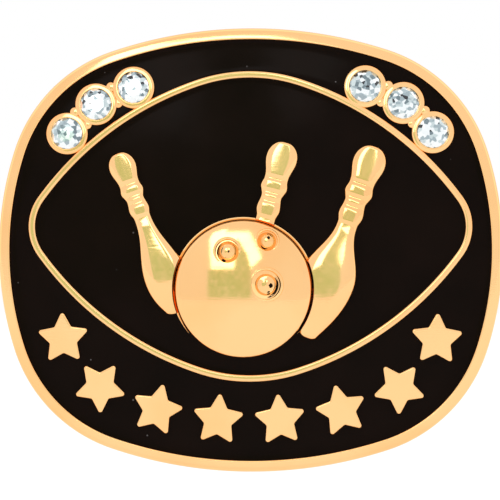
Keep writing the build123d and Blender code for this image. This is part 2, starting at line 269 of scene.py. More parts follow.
gold_plate = plated_metal("gold_plate", (1.0, 0.615, 0.28), (0.97, 0.53, 0.21), (0.05, 0.1), 0.12)
post_brass = plated_metal("post_brass", (0.92, 0.66, 0.3), (0.78, 0.5, 0.2), (0.16, 0.3), 0.4)
clutch_brass = plated_metal("clutch_brass", (0.95, 0.68, 0.31), (0.8, 0.5, 0.2), (0.14, 0.28), 0.35)
spring_steel = plated_metal("spring_steel", (0.56, 0.57, 0.58), (0.4, 0.41, 0.44), (0.2, 0.35), 0.5)
solder_tin = plated_metal("solder_tin", (0.66, 0.65, 0.62), (0.5, 0.49, 0.47), (0.25, 0.5), 0.8, 900.0)
silver_foil = plated_metal("silver_foil", (0.93, 0.96, 0.97), (0.08, 0.1, 0.12), (0.02, 0.08), 0.1, 2400.0)
print("plated metals: gold, post brass, clutch brass, steel, solder, foil")

# %% [markdown]
# ## Black enamel
# Soft enamel is a pigmented resin dropped into the recesses and baked. It is glossy and nearly black, with
# a warm cast, and dust that settled before baking shows as rare pale specks. A Voronoi texture gives
# scattered points, and only the ones whose random colour passes a limit become specks.

# %% The enamel material
black_enamel = bpy.data.materials.new("black_enamel")
black_enamel.use_nodes = True
enamel_nodes, enamel_links = black_enamel.node_tree.nodes, black_enamel.node_tree.links
enamel_nodes.clear()

enamel_place = enamel_nodes.new("ShaderNodeTexCoord")
enamel_place.label = "place on the enamel"

speck_frame = enamel_nodes.new("NodeFrame")
speck_frame.label = "dust specks"
speck_points = enamel_nodes.new("ShaderNodeTexVoronoi")
speck_points.label = "scattered points"
speck_core = enamel_nodes.new("ShaderNodeMapRange")
speck_core.label = "small round core"
speck_pick = enamel_nodes.new("ShaderNodeSeparateColor")
speck_pick.label = "random value of each point"
speck_rare = enamel_nodes.new("ShaderNodeMapRange")
speck_rare.label = "only a few points"
speck_mask = enamel_nodes.new("ShaderNodeMath")
speck_mask.label = "core of a chosen point"
for node in (speck_points, speck_core, speck_pick, speck_rare, speck_mask):
    node.parent = speck_frame

cloud_frame = enamel_nodes.new("NodeFrame")
cloud_frame.label = "pigment clouds and ripples"
clouds = enamel_nodes.new("ShaderNodeTexNoise")
clouds.label = "uneven pigment"
cloud_tint = enamel_nodes.new("ShaderNodeMix")
cloud_tint.label = "black to warm black"
speck_tint = enamel_nodes.new("ShaderNodeMix")
speck_tint.label = "specks on top"
ripples = enamel_nodes.new("ShaderNodeTexNoise")
ripples.label = "slow ripples from baking"
ripple_relief = enamel_nodes.new("ShaderNodeBump")
ripple_relief.label = "ripple height"
gloss = enamel_nodes.new("ShaderNodeMapRange")
gloss.label = "gloss"
for node in (clouds, cloud_tint, speck_tint, ripples, ripple_relief, gloss):
    node.parent = cloud_frame

resin = enamel_nodes.new("ShaderNodeBsdfPrincipled")
resin.label = "resin"
enamel_output = enamel_nodes.new("ShaderNodeOutputMaterial")
for i, node in enumerate(enamel_nodes):
    node.location = (220 * (i % 6) - 1200, 300 - 260 * (i // 6))

speck_points.inputs["Scale"].default_value = 1100.0
speck_core.inputs["From Min"].default_value = 0.03
speck_core.inputs["From Max"].default_value = 0.075
speck_core.inputs["To Min"].default_value = 1.0
speck_core.inputs["To Max"].default_value = 0.0
speck_rare.inputs["From Min"].default_value = 0.72
speck_rare.inputs["From Max"].default_value = 1.0
speck_mask.operation = "MULTIPLY"
clouds.inputs["Scale"].default_value = 260.0
clouds.inputs["Detail"].default_value = 5.0
cloud_tint.data_type = "RGBA"
cloud_tint.inputs["A"].default_value = (0.0034, 0.0022, 0.0014, 1.0)
cloud_tint.inputs["B"].default_value = (0.0095, 0.0046, 0.003, 1.0)
speck_tint.data_type = "RGBA"
speck_tint.inputs["B"].default_value = (0.17, 0.16, 0.16, 1.0)
ripples.inputs["Scale"].default_value = 300.0
ripples.inputs["Detail"].default_value = 2.0
ripple_relief.inputs["Strength"].default_value = 0.25
ripple_relief.inputs["Distance"].default_value = 0.00004
gloss.inputs["To Min"].default_value = 0.05
gloss.inputs["To Max"].default_value = 0.16
resin.inputs["Specular IOR Level"].default_value = 0.03

enamel_links.new(enamel_place.outputs["Object"], speck_points.inputs["Vector"])
enamel_links.new(speck_points.outputs["Distance"], speck_core.inputs["Value"])
enamel_links.new(speck_points.outputs["Color"], speck_pick.inputs["Color"])
enamel_links.new(speck_pick.outputs["Red"], speck_rare.inputs["Value"])
enamel_links.new(speck_core.outputs["Result"], speck_mask.inputs[0])
enamel_links.new(speck_rare.outputs["Result"], speck_mask.inputs[1])
enamel_links.new(enamel_place.outputs["Object"], clouds.inputs["Vector"])
enamel_links.new(clouds.outputs["Fac"], cloud_tint.inputs["Factor"])
enamel_links.new(cloud_tint.outputs["Result"], speck_tint.inputs["A"])
enamel_links.new(speck_mask.outputs["Value"], speck_tint.inputs["Factor"])
enamel_links.new(speck_tint.outputs["Result"], resin.inputs["Base Color"])
enamel_links.new(clouds.outputs["Fac"], gloss.inputs["Value"])
enamel_links.new(gloss.outputs["Result"], resin.inputs["Roughness"])
enamel_links.new(enamel_place.outputs["Object"], ripples.inputs["Vector"])
enamel_links.new(ripples.outputs["Fac"], ripple_relief.inputs["Height"])
enamel_links.new(ripple_relief.outputs["Normal"], resin.inputs["Normal"])
enamel_links.new(resin.outputs["BSDF"], enamel_output.inputs["Surface"])
print("black enamel:", len(enamel_nodes), "nodes")

# %% [markdown]
# ## Crystal
# A foil-backed rhinestone throws light back from its lower facets. Seen from the front it is a mosaic of
# white, blue-grey and nearly black fragments, whiter towards the bottom. Here these flashes are painted
# reflections in the stone's colour: a Voronoi texture makes the mosaic, every cell is one painted flash, a
# ramp with hard steps turns the cell's random value into one of the tones, and the painted flashes grow
# lighter towards the bottom of the stone. The coat is the glass skin.

# %% The crystal material
crystal = bpy.data.materials.new("crystal")
crystal.use_nodes = True
crystal_nodes, crystal_links = crystal.node_tree.nodes, crystal.node_tree.links
crystal_nodes.clear()

# painted reflection: the flashes of the foil are painted into the stone's colour as a mosaic of cells
painted_flash_frame = crystal_nodes.new("NodeFrame")
painted_flash_frame.label = "flashes of the lower facets"
stone_place = crystal_nodes.new("ShaderNodeTexCoord")
stone_place.label = "place in the stone"
painted_flash_cells = crystal_nodes.new("ShaderNodeTexVoronoi")
painted_flash_cells.label = "one cell for each flash"
painted_flash_value = crystal_nodes.new("ShaderNodeSeparateColor")
painted_flash_value.label = "random value of a cell"
stone_axes = crystal_nodes.new("ShaderNodeSeparateXYZ")
stone_axes.label = "height in the stone"
painted_lower_brightening = crystal_nodes.new("ShaderNodeMapRange")
painted_lower_brightening.label = "brighter towards the bottom"
painted_flash_sum = crystal_nodes.new("ShaderNodeMath")
painted_flash_sum.label = "flash brightness"
painted_flash_tones = crystal_nodes.new("ShaderNodeValToRGB")
painted_flash_tones.label = "black, blue-grey and white flashes"
glass_skin = crystal_nodes.new("ShaderNodeTexNoise")
glass_skin.label = "faint wear on the facets"
glass_polish = crystal_nodes.new("ShaderNodeMapRange")
glass_polish.label = "polish"
for node in (painted_flash_cells, painted_flash_value, stone_axes, painted_lower_brightening, painted_flash_sum, painted_flash_tones):
    node.parent = painted_flash_frame
skin_frame = crystal_nodes.new("NodeFrame")
skin_frame.label = "glass skin"
for node in (glass_skin, glass_polish):
    node.parent = skin_frame
glass = crystal_nodes.new("ShaderNodeBsdfPrincipled")
glass.label = "glass over foil"
crystal_output = crystal_nodes.new("ShaderNodeOutputMaterial")
for i, node in enumerate(crystal_nodes):
    node.location = (220 * (i % 6) - 1200, 300 - 260 * (i // 6))

painted_flash_cells.inputs["Scale"].default_value = 3900.0
# painted light: the flashes are painted lighter towards the bottom of the stone
painted_lower_brightening.inputs["From Min"].default_value = 0.75
painted_lower_brightening.inputs["From Max"].default_value = 0.15
painted_lower_brightening.inputs["To Min"].default_value = -0.08
painted_lower_brightening.inputs["To Max"].default_value = 0.24
painted_flash_sum.operation = "ADD"
painted_flash_steps = painted_flash_tones.color_ramp
painted_flash_steps.interpolation = "CONSTANT"
painted_flash_steps.elements[0].color = (0.015, 0.018, 0.025, 1.0)
painted_flash_steps.elements[1].position = 0.1
painted_flash_steps.elements[1].color = (0.16, 0.22, 0.25, 1.0)
for position, tone in ((0.25, (0.36, 0.45, 0.49)), (0.48, (0.58, 0.68, 0.7)), (0.66, (0.9, 0.95, 0.97))):
    painted_flash_steps.elements.new(position).color = (*tone, 1.0)
glass_skin.inputs["Scale"].default_value = 30.0
glass_polish.inputs["To Min"].default_value = 0.02
glass_polish.inputs["To Max"].default_value = 0.12
glass.inputs["Metallic"].default_value = 0.6
glass.inputs["Coat Weight"].default_value = 1.0
glass.inputs["Coat Roughness"].default_value = 0.01

crystal_links.new(stone_place.outputs["Object"], painted_flash_cells.inputs["Vector"])
crystal_links.new(painted_flash_cells.outputs["Color"], painted_flash_value.inputs["Color"])
crystal_links.new(stone_place.outputs["Generated"], stone_axes.inputs["Vector"])
crystal_links.new(stone_axes.outputs["Z"], painted_lower_brightening.inputs["Value"])
crystal_links.new(painted_flash_value.outputs["Red"], painted_flash_sum.inputs[0])
crystal_links.new(painted_lower_brightening.outputs["Result"], painted_flash_sum.inputs[1])
crystal_links.new(painted_flash_sum.outputs["Value"], painted_flash_tones.inputs["Fac"])
# the painted flashes become the stone's base colour
crystal_links.new(painted_flash_tones.outputs["Color"], glass.inputs["Base Color"])
crystal_links.new(stone_place.outputs["Generated"], glass_skin.inputs["Vector"])
crystal_links.new(glass_skin.outputs["Fac"], glass_polish.inputs["Value"])
crystal_links.new(glass_polish.outputs["Result"], glass.inputs["Roughness"])
crystal_links.new(glass.outputs["BSDF"], crystal_output.inputs["Surface"])
print("crystal:", len(crystal_nodes), "nodes")

# %% [markdown]
# ## Cement
# The stones are held by a clear resin. Streaks and a patchy skin show how it was dabbed in.

# %% The cement material
def clear_body(name, colour, index, streak_scale, roughness):
    """A clear material with a light index, faint streaks and a surface that is not quite even."""
    material = bpy.data.materials.new(name)
    material.use_nodes = True
    nodes, links = material.node_tree.nodes, material.node_tree.links
    nodes.clear()

    place = nodes.new("ShaderNodeTexCoord")
    place.label = "place in the body"
    streak_frame = nodes.new("NodeFrame")
    streak_frame.label = "streaks"
    streaks = nodes.new("ShaderNodeTexNoise")
    streaks.label = "streaks in the melt"
    streak_tint = nodes.new("ShaderNodeMix")
    streak_tint.label = "clear to faintly tinted"
    skin = nodes.new("ShaderNodeMapRange")
    skin.label = "surface polish"
    for node in (streaks, streak_tint, skin):
        node.parent = streak_frame
    body = nodes.new("ShaderNodeBsdfPrincipled")
    body.label = "clear body"
    output = nodes.new("ShaderNodeOutputMaterial")
    for i, node in enumerate(nodes):
        node.location = (240 * i - 900, 0)

    streaks.inputs["Scale"].default_value = streak_scale
    streaks.inputs["Detail"].default_value = 3.0
    streak_tint.data_type = "RGBA"
    streak_tint.inputs["A"].default_value = (1.0, 1.0, 1.0, 1.0)
    streak_tint.inputs["B"].default_value = (*colour, 1.0)
    skin.inputs["To Min"].default_value = roughness[0]
    skin.inputs["To Max"].default_value = roughness[1]
    body.inputs["Transmission Weight"].default_value = 1.0
    body.inputs["IOR"].default_value = index

    links.new(place.outputs["Object"], streaks.inputs["Vector"])
    links.new(streaks.outputs["Fac"], streak_tint.inputs["Factor"])
    links.new(streaks.outputs["Fac"], skin.inputs["Value"])
    links.new(streak_tint.outputs["Result"], body.inputs["Base Color"])
    links.new(skin.outputs["Result"], body.inputs["Roughness"])
    links.new(body.outputs["BSDF"], output.inputs["Surface"])
    return material


clear_cement = clear_body("clear_cement", (0.85, 0.83, 0.74), 1.48, 2200.0, (0.08, 0.3))
print("cement: clear resin")

# %% [markdown]
# ## Outlines of the badge and of the eye-shaped line
# Both outlines are twelve arcs that meet without a kink. Two of the three radii are chosen, and the other
# two follow from the width and the height. Every point also keeps its outward direction, because moving a
# point along it gives the same outline further in, and that is how a rim gets its section.

# %% Outline sizes
badge_half_width = (cad_box[1].x - cad_box[0].x) / 2 / MM
badge_half_height = (cad_box[1].z - cad_box[0].z) / 2 / MM
edge_crown_radius = 27.6
edge_crown_angle = math.radians(18.4)
edge_side_angle = math.radians(72.2)

eye_half_width = 13.75
eye_half_height = 9.55
eye_center_up = 1.48
eye_crown_radius = 10.2
eye_crown_angle = math.radians(18.4)
eye_side_angle = math.radians(54.0)
outline_step = 0.11


def corner_and_side(half_width, half_height, crown_radius, crown_angle, side_angle):
    """Radii of the corner arc and the side arc that close a quarter of the outline with no kink."""
    s1, c1 = math.sin(crown_angle), math.cos(crown_angle)
    s2, c2 = math.sin(side_angle), math.cos(side_angle)
    across = half_width - crown_radius * s1
    down = half_height - crown_radius * (1 - c1)
    det = (s2 - s1) * c2 - (1 - s2) * (c1 - c2)
    return (across * c2 - down * (1 - s2)) / det, (down * (s2 - s1) - across * (c1 - c2)) / det


def rounded_outline(half_width, half_height, crown_radius, crown_angle, side_angle, up=0.0):
    """Points (x, z) with outward directions, clockwise from the top as seen from the front."""
    corner, side = corner_and_side(half_width, half_height, crown_radius, crown_angle, side_angle)
    arcs = [
        (0, crown_angle, crown_radius),
        (crown_angle, side_angle, corner),
        (side_angle, math.pi / 2, side),
    ]
    quarter = []
    end = Vector((0, half_height))
    for start_angle, end_angle, radius in arcs:
        center = end - radius * Vector((math.sin(start_angle), math.cos(start_angle)))
        count = math.ceil(radius * (end_angle - start_angle) / outline_step)
        for i in range(count):
            turn = start_angle + (end_angle - start_angle) * i / count
            out = Vector((math.sin(turn), math.cos(turn)))
            quarter.append((center + radius * out, out))
        end = center + radius * Vector((math.sin(end_angle), math.cos(end_angle)))
    side_point = (Vector((half_width, 0)), Vector((1, 0)))
    back_up = [side_point, *reversed(quarter[1:])]
    outline = []
    for points, flip in ((quarter, (1, 1)), (back_up, (1, -1)), (quarter, (-1, -1)), (back_up, (-1, 1))):
        for point, out in points:
            outline.append((point.x * flip[0], point.y * flip[1] + up, out.x * flip[0], out.y * flip[1]))
    return outline


def outline_loop(outline, inset, level):
    """The outline moved inwards, at a level."""
    return [(x - inset * out_x, -level, z - inset * out_z) for x, z, out_x, out_z in outline]


badge_outline = rounded_outline(
    badge_half_width, badge_half_height, edge_crown_radius, edge_crown_angle, edge_side_angle
)
eye_outline = rounded_outline(
    eye_half_width, eye_half_height, eye_crown_radius, eye_crown_angle, eye_side_angle, eye_center_up
)
corner_radius, _ = corner_and_side(
    badge_half_width, badge_half_height, edge_crown_radius, edge_crown_angle, edge_side_angle
)
corner_center = (
    (edge_crown_radius - corner_radius) * math.sin(edge_crown_angle),
    badge_half_height - edge_crown_radius + (edge_crown_radius - corner_radius) * math.cos(edge_crown_angle),
)
print("badge outline:", len(badge_outline), "points; eye-shaped line:", len(eye_outline), "points")

# %% [markdown]
# ## The cast plate and its rim
# The plate is one section carried round the outline: a hollow back with a flat border that touches the
# cloth, a rounded edge, a rim whose outer half falls away and whose inner half is nearly flat, and an
# inner wall with a little draft, as a casting needs.

# %% Plate sizes and mesh
rim_width = 0.75
rim_level = 2.6
rim_fall = 0.03
rim_shoulder_drop = 0.06
rim_draft = 0.08
rim_foot_width = 0.8
back_border_width = 1.5
back_recess_depth = 0.3
back_recess_reach = 3.5
border_floor_level = 1.7
center_floor_level = 1.5
border_foot_level = border_floor_level - 0.1
center_foot_level = center_floor_level - 0.1

# each corner is (distance from the outline, level, rounding)
plate_section = rounded_path(
    [
        (back_recess_reach, back_recess_depth, 0),
        (back_border_width, back_recess_depth, 0.08),
        (back_border_width, 0, 0.06),
        (0, 0, 0.3),
        (0, rim_level - rim_shoulder_drop, 0.36),
        (rim_width / 2, rim_level - rim_fall, 0.4),
        (rim_foot_width - rim_draft, rim_level, 0.09),
        (rim_foot_width, border_floor_level, 0),
    ],
    steps=10,
)
badge_casting = stacked_loops(
    "badge_casting", [outline_loop(badge_outline, inset, level) for inset, level in plate_section]
)

# %% [markdown]
# ## The eye-shaped line
# A raised wire of metal that keeps the two enamel fields apart. Its top is rounded over, so it shows a
# bright middle between darker flanks.

# %% Line mesh
line_half_width = 0.22
line_foot_half_width = 0.27
line_level = 2.5
line_slope = 0.03
line_round = 0.14
line_foot_level = center_floor_level - 0.2

line_section = rounded_path(
    [
        (line_foot_half_width, line_foot_level, 0),
        (line_half_width, line_level - line_slope, line_round),
        (-line_half_width, line_level, line_round),
        (-line_foot_half_width, line_foot_level, 0),
    ]
)
line_loops = [outline_loop(eye_outline, inset, level) for inset, level in line_section]
eye_line = stacked_loops("eye_line", line_loops, ring=True)
print("line section:", len(line_section), "points")

# %% [markdown]
# ## Stars
# Eight stars stand in a row that follows the lower edge. One star is drawn with softened tips, and the row
# places it. A small rounded edge catches the light all round the nearly flat top.

# %% Star sizes
star_count = 8
star_pitch = 3.9
star_row_inset = 3.2
star_radius = 1.8
star_waist_radius = 0.92
star_tip_round = 0.16
star_level = 2.5
star_crown = 0.004
star_edge_round = 0.1
star_draft = 0.05


def star_outline():
    """One star with its outward directions."""
    corners = []
    for i in range(10):
        radius = star_waist_radius if i % 2 else star_radius
        turn = i * math.pi / 5
        corners.append((radius * math.sin(turn), radius * math.cos(turn), star_tip_round))
    points = rounded_path(corners, closed=True, steps=8)
    outline = []
    for i, point in enumerate(points):
        along = (points[(i + 1) % len(points)] - points[i - 1]).normalized()
        outline.append((point.x, point.y, -along.y, along.x))
    return outline


def star_places():
    """Where each star stands in the row, as (x, z, turn)."""
    crown = edge_crown_radius - star_row_inset
    corner = corner_radius - star_row_inset
    crown_run = crown * edge_crown_angle
    places = []
    for i in range(star_count):
        along = (i - (star_count - 1) / 2) * star_pitch
        sign = math.copysign(1, along)
        if abs(along) <= crown_run:
            turn = abs(along) / crown
            spot = (crown * math.sin(turn), edge_crown_radius - badge_half_height - crown * math.cos(turn))
        else:
            turn = edge_crown_angle + (abs(along) - crown_run) / corner
            spot = (corner_center[0] + corner * math.sin(turn), -corner_center[1] - corner * math.cos(turn))
        places.append((sign * spot[0], spot[1], sign * turn))
    return places


# %% Star meshes
star_section = rounded_path(
    [
        (-star_draft, border_foot_level, 0),
        (0, star_level, star_edge_round),
        (star_edge_round + 0.02, star_level + star_crown, 0),
    ]
)
stars = []
for x, z, turn in star_places():
    loops = [outline_loop(star_outline(), inset, level) for inset, level in star_section]
    star = stacked_loops("star", loops)
    star.data.transform(Matrix.Translation((x, 0, z)) @ Matrix.Rotation(-turn, 4, "Y"))
    stars.append(star)
print("stars:", len(stars))

# %% [markdown]
# ## The ball
# In low relief the ball is a shallow dome with a rolled edge. Each finger hole has a raised lip, a flare
# and a short bore with a domed floor, so it shows as a set of fine rings.

# %% Ball mesh
ball_center = (-0.37, -2.44)
ball_radius = 4.3
ball_edge_level = 2.6
ball_crown_level = 2.99
ball_roll = 0.22
ball_lean = math.radians(-1.5)
ball_draft = 0.06
edge_run = 0.5
round_steps = 256
dome_rings = 37
ball_holes = [(-0.97, 2.36, 0.74), (1.52, 3.02, 0.64), (1.45, 0.26, 0.92)]

dome_rise = ball_crown_level - ball_edge_level
dome_radius = (ball_radius**2 + dome_rise**2) / (2 * dome_rise)


def dome_level(radius):
    """Level of the ball's front at a distance from its centre."""
    return ball_crown_level - dome_radius + math.sqrt(dome_radius**2 - radius**2)


ball_edge = rounded_path(
    [
        (ball_radius + ball_draft, center_foot_level, 0),
        (ball_radius, ball_edge_level, ball_roll),
        (ball_radius - edge_run, dome_level(ball_radius - edge_run), 0),
    ],
    steps=8,
)
dome_path = [(r / 10, dome_level(r / 10)) for r in range(dome_rings, 0, -1)]
ball = turned("ball", ball_center, [*ball_edge, *dome_path], steps=round_steps)
print("ball dome radius:", round(dome_radius, 1), "mm")

# %% [markdown]
# ## The wire round the ball
# A thin wire of metal follows the ball just outside it. It stands highest above the ball and sinks into the
# enamel below it, so it fades out there. Its section is a list of (offset from its radius, depth) points.

# %% The wire round the ball
wire_radius = 4.44
wire_level = 2.14
wire_fall = 0.14
wire_section = [(-0.07, 0.6), (-0.07, 0.05), (0, 0), (0.07, 0.05), (0.07, 0.6)]
wire_loops = []
for out, down in wire_section:
    loop = []
    for i in range(round_steps):
        turn = 2 * math.pi * i / round_steps
        reach = wire_radius + out
        level = wire_level + wire_fall * math.sin(turn) - down
        x = ball_center[0] + reach * math.cos(turn)
        loop.append((x, -level, ball_center[1] + reach * math.sin(turn)))
    wire_loops.append(loop)
ball_wire = stacked_loops("ball_wire", wire_loops, ring=True)
print("wire round the ball: radius", wire_radius)

# %% Finger holes
# each corner is (share of the hole's radius, height over the ball's front, rounding)
lip_profile = [(1.04, -0.3, 0), (1.3, -0.02, 0.1), (1.04, 0.035, 0.04), (0.7, -0.3, 0)]
bore_profile = [
    (1.12, 0.3, 0),
    (0.98, 0.03, 0.05),
    (0.74, -0.16, 0.03),
    (0.7, -0.2, 0.02),
    (0.6, -0.42, 0.04),
    (0.3, -0.36, 0.1),
    (0.04, -0.34, 0),
]


def hole_part(name, hole, profile):
    """A piece turned about a finger hole's axis, from a profile."""
    across, up, radius = hole
    surface = dome_level(math.hypot(across, up))
    path = rounded_path([(radius * share, surface + height, rounding) for share, height, rounding in profile])
    return turned(name, (ball_center[0] + across, ball_center[1] + up), path)


combine(ball, [hole_part("lip", hole, lip_profile) for hole in ball_holes], "UNION")
combine(ball, [hole_part("drill", hole, bore_profile) for hole in ball_holes], "DIFFERENCE")
print("finger holes:", len(ball_holes))

# %% Lean the ball's front
pivot = Vector((ball_center[0], -ball_edge_level, ball_center[1]))
ball_turn = Matrix.Translation(pivot) @ Matrix.Rotation(ball_lean, 4, "X") @ Matrix.Translation(-pivot)
ball.data.transform(ball_turn)
print("ball leans by", round(math.degrees(ball_lean), 2), "degrees")

# %% [markdown]
# ## Painted shade in the finger holes
# Thin black arcs and a few black beads in the corners of the holes are painted shade: pieces in black enamel
# stand where the hollows of the holes fall dark. An arc is a chain of small six-sided loops that get thinner
# towards both ends.

# %% Painted shade traces
trace_depth = 0.04
trace_steps = 16
floor_reach = 0.55
floor_depth = 0.28
# each trace is (hole, distance from its centre, start and end in degrees, half thickness)
painted_shade_traces = [
    (2, 0.72, -70, 40, 0.07),
    (2, 0.6, -85, -60, 0.05),
    (2, 0.3, -40, 20, 0.13),
    (0, 0.6, 120, 215, 0.045),
    (0, 0.6, 235, 262, 0.05),
    (0, 0.06, -90, 90, 0.06),
    (0, 0.72, 20, 70, 0.03),
    (1, 0.2, 40, 100, 0.11),
    (1, 0.5, 190, 250, 0.04),
    (1, 0.5, -30, 20, 0.035),
]


def painted_shade_trace(hole, reach, start, end, thickness):
    """One arc of painted shade, in black enamel, round a finger hole's centre; the arcs nearest to it lie on
    the hole's floor.
    """
    across, up, _ = ball_holes[hole]
    level = dome_level(math.hypot(across, up)) - trace_depth
    if reach < floor_reach:
        level -= floor_depth
    loops = []
    for i in range(trace_steps + 1):
        share = i / trace_steps
        turn = math.radians(start + (end - start) * share)
        size = thickness * (0.15 + 0.85 * math.sin(math.pi * share))
        loop = []
        for k in range(6):
            around = math.pi * k / 3
            out = reach + size * math.cos(around)
            x = ball_center[0] + across + out * math.cos(turn)
            z = ball_center[1] + up + out * math.sin(turn)
            loop.append((x, -(level + size * math.sin(around)), z))
        loops.append(loop)
    trace = stacked_loops("painted_shade_trace", loops)
    trace.data.transform(ball_turn)
    return trace


traces = [painted_shade_trace(*trace) for trace in painted_shade_traces]
joined = bmesh.new()
for trace in traces:
    joined.from_mesh(trace.data)
    bpy.data.objects.remove(trace)
hole_painted_shade = piece_from("hole_painted_shade", joined)
# the black enamel here is painted shade in the finger holes, not enamel left in them
finish_piece(hole_painted_shade, black_enamel)
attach(hole_painted_shade, "badge")

# %% [markdown]
# ## The pins
# Each pin is a stack of sections down its axis. Its silhouette is a chain of Bezier pieces whose handles
# run along the axis at every widest and narrowest place, which is how a turned shape swells and narrows. A
# section is nearly flat on top with rounded shoulders, and the whole front rolls a little to one side.

# %% Pin sizes
# each pin is (top of its head, lean in degrees, size, belly, foot, roll in degrees)
pins = {
    "left": ((-8.34, 6.12), 21.5, 0.88, (8.5, 1.4), (10.6, 0.8), 0.0),
    "middle": ((2.34, 6.79), -15.0, 1.0, (8.5, 1.5), (10.6, 0.8), -2.5),
    "right": ((7.92, 6.51), -19.5, 1.05, (8.9, 1.76), (12.6, 0.56), -4.0),
}
pin_turns = [(1.1, 1.02), (2.4, 0.78), (2.95, 0.88), (3.6, 0.68), (4.35, 0.78), (5.0, 0.64)]
pin_shoulder_level = 2.1
pin_rise = 0.42
pin_belly_rise = 0.6
pin_foot_fall = 0.16
pin_squareness = 4.0
pin_front_steps = 32
pin_creases = (2.4, 3.3, 3.85, 5.0)
crease_depth = 0.05
crease_width = 0.16
pin_end_half_width = 0.02
pin_end_share = 0.55
head_handle_out = 0.58
head_handle_down = 0.42
handle_share = 2.6
pin_base_length = 0.2
bezier_steps = 14


def bezier(start, pull, push, end):
    """Points on one Bezier piece, without its last point."""
    points = []
    for i in range(bezier_steps):
        t = i / bezier_steps
        u = 1 - t
        weights = (u**3, 3 * u * u * t, 3 * u * t * t, t**3)
        points.append(tuple(sum(w * p[k] for w, p in zip(weights, (start, pull, push, end))) for k in (0, 1)))
    return points


def pin_silhouette(size, belly, foot):
    """Half widths down the pin, as (down, half width)."""
    knots = [(size * down, size * width) for down, width in pin_turns] + [belly]
    head = knots[0]
    silhouette = bezier(
        (0.0, pin_end_half_width), (0.0, head_handle_out * head[1]), (head_handle_down * head[0], head[1]), head
    )
    for start, end in zip(knots, knots[1:]):
        handle = (end[0] - start[0]) / handle_share
        silhouette += bezier(start, (start[0] + handle, start[1]), (end[0] - handle, end[1]), end)
    silhouette += bezier(belly, ((belly[0] + foot[0]) / 2, belly[1]), (foot[0] - 0.4, 1.25 * foot[1]), foot)
    base = foot[0] + pin_base_length
    end = (base, pin_end_half_width)
    silhouette += bezier(foot, (base - 0.04, foot[1] * 0.8), (base, foot[1] * 0.4), end)
    return silhouette


def front_rise(down, half_width, size, belly_down, length):
    """Height of the front over the shoulders: level to the neck, fuller at the belly, rounded at the ends."""
    neck = size * pin_turns[-1][0]
    if down < neck:
        rise = pin_rise
    elif down < belly_down:
        share = (down - neck) / (belly_down - neck)
        rise = pin_rise + (pin_belly_rise - pin_rise) * share * share * (3 - 2 * share)
    else:
        rise = pin_belly_rise - pin_foot_fall * ((down - belly_down) / (length - belly_down)) ** 2
    for crease in pin_creases:
        rise -= crease_depth * math.exp(-(((down - size * crease) / crease_width) ** 2))
    return min(rise, rise * math.sqrt(half_width / (pin_end_share * size)))


def pin_section(half_width, down, rise):
    """One section of a pin: an upright foot in the enamel, and a front with rounded shoulders."""
    section = [(half_width, center_foot_level)]
    for i in range(pin_front_steps + 1):
        turn = math.pi * i / pin_front_steps
        reach = abs(math.cos(turn)) ** (2 / pin_squareness)
        height = math.sin(turn) ** (2 / pin_squareness)
        across = half_width * math.copysign(reach, math.cos(turn))
        section.append((across, pin_shoulder_level + rise * height))
    section.append((-half_width, center_foot_level))
    return [(across, -level, -down) for across, level in section]


# %% Pin meshes
ball_clearance = 0.16
gap_radius = ball_radius + ball_clearance
above_all = 4.0
gap_path = [(gap_radius, 0.5), (gap_radius, above_all)]
pin_pieces = []
for name, (top, lean, size, belly, foot, roll) in pins.items():
    silhouette = pin_silhouette(size, belly, foot)
    rises = [front_rise(down, width, size, belly[0], silhouette[-1][0]) for down, width in silhouette]
    sections = [pin_section(width, down, rise) for (down, width), rise in zip(silhouette, rises)]
    pin = stacked_loops(f"pin_{name}", sections)
    rolled = Matrix.Translation((0, -pin_shoulder_level, 0)) @ Matrix.Rotation(math.radians(roll), 4, "Z")
    pin.data.transform(rolled @ Matrix.Translation((0, pin_shoulder_level, 0)))
    pin.data.transform(Matrix.Translation((top[0], 0, top[1])) @ Matrix.Rotation(math.radians(-lean), 4, "Y"))
    combine(pin, [turned("gap", ball_center, gap_path, steps=round_steps)], "DIFFERENCE")
    pin_pieces.append(pin)
print("pins:", ", ".join(pins))

# %% [markdown]
# ## Cups for the stones
# Three cups stand in each upper corner on an arc. Each is a ring with a rounded lip and a blind hole for
# the stone, and small webs of metal fill the notches between neighbours, as a cast cup group has.

# %% Cup sizes and meshes
stone_orbit_radius = 7.1
stone_orbit_middle = math.radians(55.6)
stone_orbit_step = math.radians(21.1)
cup_radius = 1.33
lip_radius = 0.98
cup_level = 2.55
seat_radius = 1.05
seat_floor_level = 1.6
axis_radius = 0.02
cup_foot_level = border_floor_level - 0.12
cup_steps = 128
web_radius = 0.34
web_reaches = (-0.62, 0.5)

web_path = rounded_path(
    [
        (web_radius, border_foot_level, 0),
        (web_radius * 0.9, cup_level - 0.08, 0.1),
        (axis_radius, cup_level - 0.04, 0),
    ]
)


def orbit_spot(sign, reach, angle):
    """A place on the arc of the stones, or off it by a reach."""
    orbit = stone_orbit_radius + reach
    return sign * (corner_center[0] + orbit * math.cos(angle)), corner_center[1] + orbit * math.sin(angle)


stone_spots = {}
webs = []
for side, sign in SIDES.items():
    for i in range(3):
        stone_spots[f"{side}_{i + 1}"] = orbit_spot(sign, 0, stone_orbit_middle + (1 - i) * stone_orbit_step)
    for i in (0.5, -0.5):
        for reach in web_reaches:
            spot = orbit_spot(sign, reach, stone_orbit_middle + i * stone_orbit_step)
            webs.append(turned("web", spot, web_path, steps=32))

